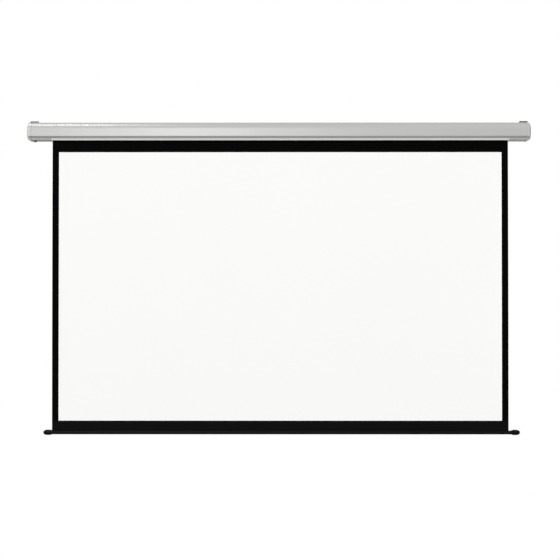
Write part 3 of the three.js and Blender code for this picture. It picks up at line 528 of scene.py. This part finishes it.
def addFloor():
    near, far = studio["floorReach"]
    half = studio["floorHalf"]
    level = studio["floorLevel"]
    places = [(-half, near, level), (half, near, level), (half, far, level), (-half, far, level)]
    floor = solid("floor", (places, [(0, 1, 2, 3)]))
    material, tree, surface = newCoat("pale_floor", {"colour": studio["floorColour"], "roughness": 0.9})
    rays = add(tree, "ShaderNodeLightPath")
    blend = add(tree, "ShaderNodeMix", {
        "data_type": "RGBA", 6: linear(studio["floorBounce"]), 7: linear(studio["floorColour"]),
    }, {0: rays.outputs["Is Camera Ray"]})
    tree.links.new(blend.outputs[2], surface.inputs["Base Color"])
    glow = add(tree, "ShaderNodeMath", {"operation": "MULTIPLY", 1: studio["floorGlow"]},
               {0: rays.outputs["Is Camera Ray"]})  # pale to the camera, with its shadow kept
    tree.links.new(glow.outputs[0], surface.inputs["Emission Strength"])
    floor.data.materials.append(material)


addSun()
for name, look in softboxes.items():
    addSoftbox(name, look)
addSky()
addFloor()
print("studio made")


# Case: two folded steel skins, drawn from the nodes' own boxes

skinLow, skinHigh = corners("case_back_channel")
coverLow, coverHigh = corners("case_front_cover")
caseEnd = corners("right_end_cap")[1].x
sheetLow, sheetHigh = corners("screen_sheet")
sheetY = (sheetLow.y + sheetHigh.y) / 2
case = {
    "skin": 1.2, "bend": 2, "frontRadius": 28, "chamferDrop": 8.2, "chamferInset": 8, "lipHeight": 7,
    "lipInset": 2.5, "slotBehind": 6, "slotReturn": 2.6, "seamAngle": 118, "tuckAngle": 15, "joggleAngle": 3,
    "arcSteps": 24, "seamSteps": 8, "tuckSteps": 6, "coverSteps": 16, "edge": 0.2,
}
caseTop, caseBottom, caseFront = skinHigh.z, skinLow.z, coverLow.y
edgeCentre = (caseFront + case["frontRadius"], caseTop - case["frontRadius"])
lipTop = Vector((caseFront + case["chamferInset"], caseBottom + case["lipHeight"]))
lipBottom = Vector((lipTop.x + case["lipInset"], caseBottom))
frontPoints = [Vector((caseFront, lipTop.y + case["chamferDrop"])), lipTop, lipBottom]
caseOutline = [Vector((0, caseTop)), *arc(edgeCentre, case["frontRadius"], 90, 180, case["arcSteps"]),
               *frontPoints, Vector((0, caseBottom))]


def holes(nodes):  # upright holes for screws, from their nodes' boxes
    shapes = []
    turn = Matrix.Rotation(-math.pi / 2, 4, "Y")
    for node in nodes:
        low, high = corners(node)
        radius = screws[node]["radius"] + seatGap
        upright = placed(rod(low.z - overrun, high.z + overrun, radius), turn)
        shapes.append(shifted(upright, (low.x + high.x) / 2, (low.y + high.y) / 2))
    return shapes


capScrew = {"head": 3.6, "height": 2.4, "radius": 1.5}
earScrew = {"head": 3.4, "height": 2.2, "radius": 1.6}
footScrew = {"head": 5.6, "height": 4.2, "radius": 2.2}
screws = {"foot_screw": footScrew}
for name, side in sides:
    screws.update({f"{name}_cap_screw_{end}": capScrew for end in ("lower", "upper")})
    screws.update({f"{name}_ear_screw_{end}": earScrew for end in ("rear", "front")})
uprightScrews = [name for name in screws if "cap" not in name]


def makeBackChannel():
    slotEdge = sheetY + case["slotBehind"]
    path = [Vector((slotEdge, caseBottom + case["slotReturn"])), Vector((slotEdge, caseBottom)),
            Vector((0, caseBottom)), Vector((0, caseTop)),
            *arc(edgeCentre, case["frontRadius"], 90, case["seamAngle"], case["seamSteps"])]
    outline = folded(rounded(path, case["bend"]), case["skin"])
    channel = carved(solid("back_channel", extruded(outline, skinLow.x, skinHigh.x)), holes(uprightScrews))
    return finished(channel, "case", "case_paint", ["case_back_channel"], ease=case["edge"])


def makeFrontCover():
    seam = case["seamAngle"]
    tuckRadius = case["frontRadius"] - case["skin"] - seatGap
    path = [*arc(edgeCentre, tuckRadius, seam - case["tuckAngle"], seam, case["tuckSteps"]),
            *arc(edgeCentre, case["frontRadius"], seam + case["joggleAngle"], 180, case["coverSteps"]),
            *frontPoints]
    outline = folded(rounded(path, case["bend"]), case["skin"])
    cover = solid("front_cover", extruded(outline, coverLow.x, coverHigh.x))
    return finished(cover, "case", "case_paint", ["case_front_cover"], ease=case["edge"])


def makeLipTrim():
    trim = {"skin": 0.9, "rise": 6.4, "edge": 0.3}
    low, high = corners("slot_trim")
    up = (lipTop - lipBottom).normalized()
    inward = Vector((up.y, -up.x))
    path = [lipBottom + inward * across + up * along for across, along in (
        (-seatGap, trim["rise"]), (-seatGap, -seatGap),
        (case["skin"] + seatGap, -seatGap), (case["skin"] + seatGap, trim["rise"]))]
    strip = solid("lip_edging", extruded(folded(path, -trim["skin"]), low.x, high.x))
    return finished(strip, "case", "trim_plastic", ["slot_trim"], ease=trim["edge"])


makeBackChannel()
makeFrontCover()
makeLipTrim()
print("case skins made")


# End caps, ears and screws

cap = {"grow": 0.8, "dome": 12.5, "flat": 0.3, "band": 8, "rim": 3.5, "rimWall": 2, "wall": 2.4,
       "bossRadius": 5.5, "bossOffset": 19, "boreDepth": 5, "boreRadius": 4.2, "screwHole": 1.8, "steps": 16,
       "corner": 1.6, "edge": 0.5}
caseMiddle = Vector((caseFront / 2, 0))
bossPlaces = [(caseMiddle.x, -cap["bossOffset"]), (caseMiddle.x, cap["bossOffset"])]


def domed(outline, middle, depth, flat, start, steps):  # rings from a flat tip to the full outline
    first = math.asin(flat)
    rings = []
    for i in range(steps + 1):
        angle = first + (math.pi / 2 - first) * i / steps
        x = start + depth * (1 - math.cos(angle) / math.cos(first))
        rings.append((x, [middle + (p - middle) * math.sin(angle) for p in outline]))
    return rings


def atEnd(shape, side):  # from the left end inwards, or mirrored at the right
    return placed(shape, Matrix.Scale(side, 4, (1, 0, 0)) @ Matrix.Translation((-caseEnd, 0, 0)))


def makeEndCap(name, side):
    rimInset = 2 * (case["skin"] + seatGap) + seatGap
    base = rounded(caseOutline, cap["corner"], closed=True)
    outer = [Vector((min(p.x, 0), p.y)) for p in offset(base, -cap["grow"], True)]
    rimOutline = offset(base, rimInset, True)
    hollow = offset(base, rimInset + cap["rimWall"], True)
    band = cap["dome"] + cap["band"]
    end = band + cap["rim"]
    inside = domed(hollow, caseMiddle, cap["dome"], cap["flat"], cap["wall"], cap["steps"])
    rings = [*domed(outer, caseMiddle, cap["dome"], cap["flat"], 0, cap["steps"]), (band, outer),
             (band, rimOutline), (end, rimOutline), (end, hollow), *inside[::-1]]
    shell = solid(f"{name}_end_cap_shell", atEnd(lofted(rings), side))
    bossStart = cap["boreDepth"] - cap["wall"]
    bosses = [shifted(rod(bossStart, end, cap["bossRadius"]), 0, y, z) for y, z in bossPlaces]
    bores = [shifted(turned([
        (-overrun, 0), (-overrun, cap["boreRadius"]), (cap["boreDepth"], cap["boreRadius"]),
        (cap["boreDepth"], cap["screwHole"]), (end + overrun, cap["screwHole"]), (end + overrun, 0),
    ]), 0, y, z) for y, z in bossPlaces]
    carved(shell, [atEnd(boss, side) for boss in bosses], "UNION")
    carved(shell, [atEnd(bore, side) for bore in bores])
    return finished(shell, "case", "cap_plastic", [f"{name}_end_cap"], ease=cap["edge"])


ear = {"start": 11, "width": 31.5, "thick": 2.2, "rise": 6, "back": 2, "foot": 11, "slope": 2, "span": 14,
       "bend": 2.6, "edge": 0.25}


def makeEar(name, side):
    under = caseTop + seatGap
    front = -ear["back"] - 2 * (ear["foot"] + ear["slope"]) - ear["span"]
    rearFoot, frontFoot = -ear["back"] - ear["foot"], front + ear["foot"]
    path = [Vector(p) for p in (
        (-ear["back"], under), (rearFoot, under), (rearFoot - ear["slope"], under + ear["rise"]),
        (frontFoot + ear["slope"], under + ear["rise"]), (frontFoot, under), (front, under))]
    outline = rounded(path, ear["bend"])
    strap = outline + offset(outline, -ear["thick"])[::-1]
    relieved = [Vector((p.x, max(p.y, caseTop + cap["grow"] + seatGap))) for p in strap]
    reliefEnd = cap["dome"] + cap["band"] + 2 * seatGap
    rings = [(ear["start"], relieved), (reliefEnd, relieved), (reliefEnd, strap),
             (ear["start"] + ear["width"], strap)]
    piece = solid(f"{name}_ear_strap", atEnd(lofted(rings), side))
    carved(piece, holes([f"{name}_ear_screw_rear", f"{name}_ear_screw_front"]))
    # The ears take the darker copy of the zinc, whose dark colour is painted shade.
    return finished(piece, "case", "zinc_steel", [f"{name}_hanging_ear"], ease=ear["edge"], coat="ear")


def domedHead(radius, height, rimShare, steps):  # from its crown to its rim, and down to its seat at zero
    profile = []
    for i in range(steps + 1):
        turn = math.pi / 2 * i / steps
        rise = rimShare + (1 - rimShare) * math.cos(turn)
        profile.append((-height * rise, radius * math.sin(turn)))
    return profile + [(0, radius)]


# A pan head screw along X, its seat at zero and its shank towards +X, with a tapered cross recess.
def screwSolid(name, size, length, matrix):
    form = {"steps": 8, "rimShare": 0.4, "recessWidth": 0.22, "recessLength": 1.05, "recessDepth": 0.6,
            "taper": 0.55}
    profile = domedHead(size["head"], size["height"], form["rimShare"], form["steps"])
    profile += [(0, size["radius"]), (length - size["radius"], size["radius"]), (length, 0)]
    wide, reach = size["head"] * form["recessWidth"] / 2, size["head"] * form["recessLength"] / 2
    cross = [Vector(p) for p in (
        (reach, -wide), (reach, wide), (wide, wide), (wide, reach), (-wide, reach), (-wide, wide),
        (-reach, wide), (-reach, -wide), (-wide, -wide), (-wide, -reach), (wide, -reach), (wide, -wide))]
    recess = lofted([(-size["height"] - overrun, cross), (-size["height"], cross),
                     (-size["height"] * (1 - form["recessDepth"]), [p * form["taper"] for p in cross])])
    piece = solid(name, placed(turned(profile), matrix))
    return carved(piece, [placed(recess, matrix)])


def makeScrews():
    for node, size in screws.items():
        low, high = corners(node)
        middle = (low + high) / 2
        if "cap" in node:
            left = "left" in node
            length = high.x - low.x - size["height"]
            seat = (low.x + size["height"]) if left else (high.x - size["height"])
            turn = Matrix.Identity(4) if left else Matrix.Scale(-1, 4, (1, 0, 0))
            matrix = Matrix.Translation((seat, middle.y, middle.z)) @ turn
        else:
            length = high.z - low.z - size["height"]
            down = node == "foot_screw"
            seat = (low.z + size["height"]) if down else (high.z - size["height"])
            turn = Matrix.Rotation(-math.pi / 2 if down else math.pi / 2, 4, "Y")
            matrix = Matrix.Translation((middle.x, middle.y, seat)) @ turn
        slot = "black_steel" if node == "foot_screw" else "zinc_steel"
        finished(screwSolid(f"{node}_pan", size, length, matrix), "case", slot, [node])


for name, side in sides:
    makeEndCap(name, side)
    makeEar(name, side)
makeScrews()
print("end caps, ears and screws made")


# Sheet: one coated cloth from the roller to the lower border, and the border that goes with the bar

sheet = {"thick": 0.5, "border": 26.5, "cell": 24, "wave": 0.8, "waveWidth": 420, "waveLength": 1500,
         "curl": 1.6, "curlShare": 0.05, "hairline": 0.02, "hemSteps": 40}
imageTop = corners("black_drop")[0].z
sheetMiddle = (sheetLow.x + sheetHigh.x) / 2


def stations(marks, step):  # even steps from mark to mark
    places = [marks[0]]
    for start, end in zip(marks, marks[1:]):
        count = max(1, round((end - start) / step))
        places += [start + (end - start) * (i + 1) / count for i in range(count)]
    return places


def hang(x, z):  # how far the cloth stands forward of its plane: nothing at the roller and at the bar
    drop = (sheetHigh.z - z) / (sheetHigh.z - sheetLow.z)
    spare = math.sin(math.pi * drop)
    wave = noise.noise(Vector((x / sheet["waveWidth"], z / sheet["waveLength"], 0)))
    outer = abs(x - sheetMiddle) / (sheetHigh.x - sheetMiddle)
    lift = max(0, (outer - 1 + sheet["curlShare"]) / sheet["curlShare"]) ** 2
    return spare * (sheet["wave"] * (1 + wave) + sheet["curl"] * lift)


def makeSheet():
    left, right = sheetLow.x, sheetHigh.x
    columns = stations([left, left + sheet["border"], right - sheet["border"], right], sheet["cell"])
    bottom = corners("sheet_lower_border")[1].z + sheet["hairline"]
    rows = stations([bottom, imageTop, sheetHigh.z], sheet["cell"])
    rings = []
    for z in rows:
        front = [Vector((x, sheetY - hang(x, z) - sheet["thick"] / 2, z)) for x in columns]
        rings.append(front + [p + Vector((0, sheet["thick"], 0)) for p in front[::-1]])
    cloth = finished(solid("screen_cloth", skinned(rings)), "case", "screen_white",
                     ["screen_sheet", "black_drop", "left_border", "right_border"])
    cloth.data.materials.append(coats["border_black"])
    for face in cloth.data.polygons:
        spot = face.center / mm
        picture = left + sheet["border"] < spot.x < right - sheet["border"] and spot.z < imageTop
        face.material_index = 0 if picture and face.normal.y < 0 else 1
    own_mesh(cloth)
    return cloth


def makeLowerBorder():
    low, high = corners("sheet_lower_border")
    splineLow, splineHigh = corners("hem_spline")
    centre = (sheetY, (splineLow.z + splineHigh.z) / 2)
    radius = (splineHigh.z - splineLow.z) / 2 + seatGap + sheet["thick"]
    half = math.degrees(math.asin(sheet["thick"] / 2 / radius))
    outline = [Vector((sheetY + sheet["thick"] / 2, high.z)), Vector((sheetY - sheet["thick"] / 2, high.z)),
               *arc(centre, radius, 90 + half, 450 - half, sheet["hemSteps"])]
    border = solid("lower_border_cloth", extruded(outline, low.x, high.x))
    carved(border, [shifted(rod(low.x - overrun, high.x + overrun, radius - sheet["thick"]), 0, *centre)])
    # The lower border takes the lighter copy of the black print, whose extra lightness is painted light.
    return finished(border, "bar", "border_black", ["sheet_lower_border"], coat="lower_border")


def makeRoll():  # the turns that stay on the roller, wound outwards to where the sheet leaves
    low, high = corners("screen_roll")
    roll = {"pitch": 0.9, "turns": 2.5, "steps": 72}
    axis = Vector(((corners("roller_tube")[0].y + corners("roller_tube")[1].y) / 2, 0))
    radius = axis.x - sheetY
    path = []
    for i in range(int(roll["steps"] * roll["turns"]) + 1):
        turn = 2 * math.pi * i / roll["steps"]
        r = radius - roll["pitch"] * i / roll["steps"]
        path.append(axis + Vector((-r * math.cos(turn), r * math.sin(turn))))
    outline = offset(path, sheet["thick"] / 2) + offset(path, -sheet["thick"] / 2)[::-1]
    return finished(solid("wound_cloth", extruded(outline, low.x, high.x)), "roller", "screen_white",
                    ["screen_roll"])


cloth = makeSheet()
lowerBorder = makeLowerBorder()
makeRoll()
print("sheet made")


# Torsion spring in the roller

def makeSpring():
    spring = {"coils": 24, "wire": 1.1, "steps": 32, "sides": 12}
    low, high = corners("torsion_spring")
    axisY, radius = (low.y + high.y) / 2, (high.z - low.z) / 2 - spring["wire"]
    start, end = low.x + spring["wire"] / 2, high.x - spring["wire"] / 2
    count = spring["coils"] * spring["steps"]
    route = []
    for i in range(count + 1):
        turn = 2 * math.pi * i / spring["steps"]
        route.append(Vector((start + (end - start) * i / count, axisY + radius * math.cos(turn),
                             radius * math.sin(turn))))
    coils = solid("spring_coils", swept(route, spring["wire"], spring["sides"]))
    return finished(coils, "case", "spring_steel", ["torsion_spring"])


makeSpring()
print("torsion spring made")


# Weight bar, its caps and the pull bail

bar = {"corner": 4, "hemSlot": 1.1, "ballastRadius": 2.4, "ballastOffset": 7.4, "rivetRadius": 1.8,
       "edge": 0.15}
barLow, barHigh = corners("weight_bar")
barMiddle = Vector(((barLow.y + barHigh.y) / 2, (barLow.z + barHigh.z) / 2))
barX = (barLow.x + barHigh.x) / 2
bailLow, bailHigh = corners("pull_bail")
bracketLow, bracketHigh = corners("bail_bracket")
rivetNames = ["bail_rivet_left", "bail_rivet_right"]


def rivetX(name):
    low, high = corners(name)
    return (low.x + high.x) / 2


def rivetHoles(y):  # from front to back, through what stands at that depth
    turn = Matrix.Rotation(math.pi / 2, 4, "Z")
    hole = placed(rod(-overrun, overrun, bar["rivetRadius"]), turn)
    return [shifted(hole, rivetX(name), y, barMiddle.y) for name in rivetNames]


def makeBar():
    splineLow, splineHigh = corners("hem_spline")
    centre = (sheetY, (splineLow.z + splineHigh.z) / 2)
    cavity = (splineHigh.z - splineLow.z) / 2 + sheet["thick"] + 2 * seatGap
    outline = box2d(barMiddle, barHigh.y - barLow.y, barHigh.z - barLow.z, bar["corner"])
    piece = solid("weight_bar_profile", extruded(outline, barLow.x, barHigh.x))
    start, end = barLow.x - overrun, barHigh.x + overrun
    slot = block((start, sheetY - bar["hemSlot"] / 2, centre[1]),
                 (end, sheetY + bar["hemSlot"] / 2, barHigh.z + overrun))
    ballastHole = rod(start, end, bar["ballastRadius"])
    ballast = [shifted(ballastHole, 0, sheetY + side * bar["ballastOffset"], barMiddle.y)
               for side in (-1, 1)]
    carved(piece, [shifted(rod(start, end, cavity), 0, *centre), slot, *ballast, *rivetHoles(barHigh.y)])
    return finished(piece, "bar", "bar_paint", ["weight_bar"], ease=bar["edge"])


def makeBarCap(name, side):
    form = {"corner": 9, "dome": 15, "flat": 0.35, "pocket": 12, "collar": 6, "collarWall": 1.5,
            "collarCorner": 6, "steps": 20, "edge": 0.4}
    low, high = corners(f"{name}_bar_cap")
    length = high.x - low.x
    middle = Vector(((low.y + high.y) / 2, (low.z + high.z) / 2))
    depth = high.y - low.y
    outline = box2d(middle, depth, high.z - low.z, form["corner"])
    collar = box2d(barMiddle, depth, barHigh.z - barLow.z + 2 * (seatGap + form["collarWall"]),
                   form["collarCorner"])
    body = lofted([*domed(outline, middle, form["dome"], form["flat"], 0, form["steps"]),
                   (length - form["collar"], outline), (length, collar)])
    pocketOutline = box2d(barMiddle, barHigh.y - barLow.y + 2 * seatGap,
                          barHigh.z - barLow.z + 2 * seatGap, bar["corner"] + seatGap)
    pocket = extruded(pocketOutline, length - form["pocket"] - seatGap, length + overrun)
    matrix = Matrix.Translation((low.x if side > 0 else high.x, 0, 0)) @ Matrix.Scale(side, 4, (1, 0, 0))
    piece = solid(f"{name}_bar_cap_shell", placed(body, matrix))
    carved(piece, [placed(pocket, matrix)])
    return finished(piece, "bar", "bar_cap_plastic", [f"{name}_bar_cap"], ease=form["edge"])


def makeBracket():
    form = {"plate": 1.6, "lug": 3.4, "bore": 1.8, "steps": 24, "edge": 0.25}
    half = (bracketHigh.z - bracketLow.z) / 2
    pivotY = bracketHigh.y - half
    level = barMiddle.y
    plateHigh = Vector((bracketHigh.x, bracketLow.y + form["plate"], bracketHigh.z))
    piece = solid("bail_bracket_plate", block(bracketLow, plateHigh))
    for start in (bracketLow.x, bracketHigh.x - form["lug"]):
        lug = [Vector((bracketLow.y, level - half)), *arc((pivotY, level), half, -90, 90, form["steps"]),
               Vector((bracketLow.y, level + half))]
        carved(piece, [extruded(lug, start, start + form["lug"])], "UNION")
    bore = shifted(rod(bracketLow.x - overrun, bracketHigh.x + overrun, form["bore"]), 0, pivotY, level)
    carved(piece, [bore, *rivetHoles(bracketLow.y)])
    return finished(piece, "bar", "zinc_steel", ["bail_bracket"], ease=form["edge"])


def makeRivets():
    form = {"head": 2.8, "height": 1.2, "rim": 0.33, "shank": 1.5, "steps": 8}
    for name in rivetNames:
        low, high = corners(name)
        length = high.y - low.y - form["height"]
        profile = domedHead(form["head"], form["height"], form["rim"], form["steps"])
        profile += [(0, form["shank"]), (length, form["shank"]), (length, 0)]
        matrix = Matrix.Translation((rivetX(name), high.y - form["height"], barMiddle.y)) @ Matrix.Rotation(
            -math.pi / 2, 4, "Z")
        finished(solid(f"{name}_head", placed(turned(profile), matrix)), "bar", "zinc_steel", [name])


def makeBail():
    form = {"wire": 1.5, "hook": 7, "corner": 7, "hookCorner": 2.2, "steps": 10, "sides": 20}
    half = (bailHigh.x - bailLow.x) / 2 - form["wire"]
    near, far = bailLow.y + form["wire"], bailHigh.y - form["wire"]
    spot = [Vector(p) for p in ((-half + form["hook"], near), (-half, near), (-half, far), (half, far),
                                (half, near), (half - form["hook"], near))]
    path = []
    for i, here in enumerate(spot):
        if i in (0, len(spot) - 1):
            path.append(here)
            continue
        reach = form["corner"] if here.y == far else form["hookCorner"]
        path += rounded([spot[i - 1], here, spot[i + 1]], reach, steps=form["steps"])[1:-1]
    route = [Vector((barX + p.x, p.y, barMiddle.y)) for p in path]
    return finished(solid("bail_wire", swept(route, form["wire"], form["sides"])), "bail", "zinc_steel",
                    ["pull_bail"])


makeBar()
for name, side in sides:
    makeBarCap(name, side)
makeBracket()
makeRivets()
makeBail()
print("weight bar and bail made")
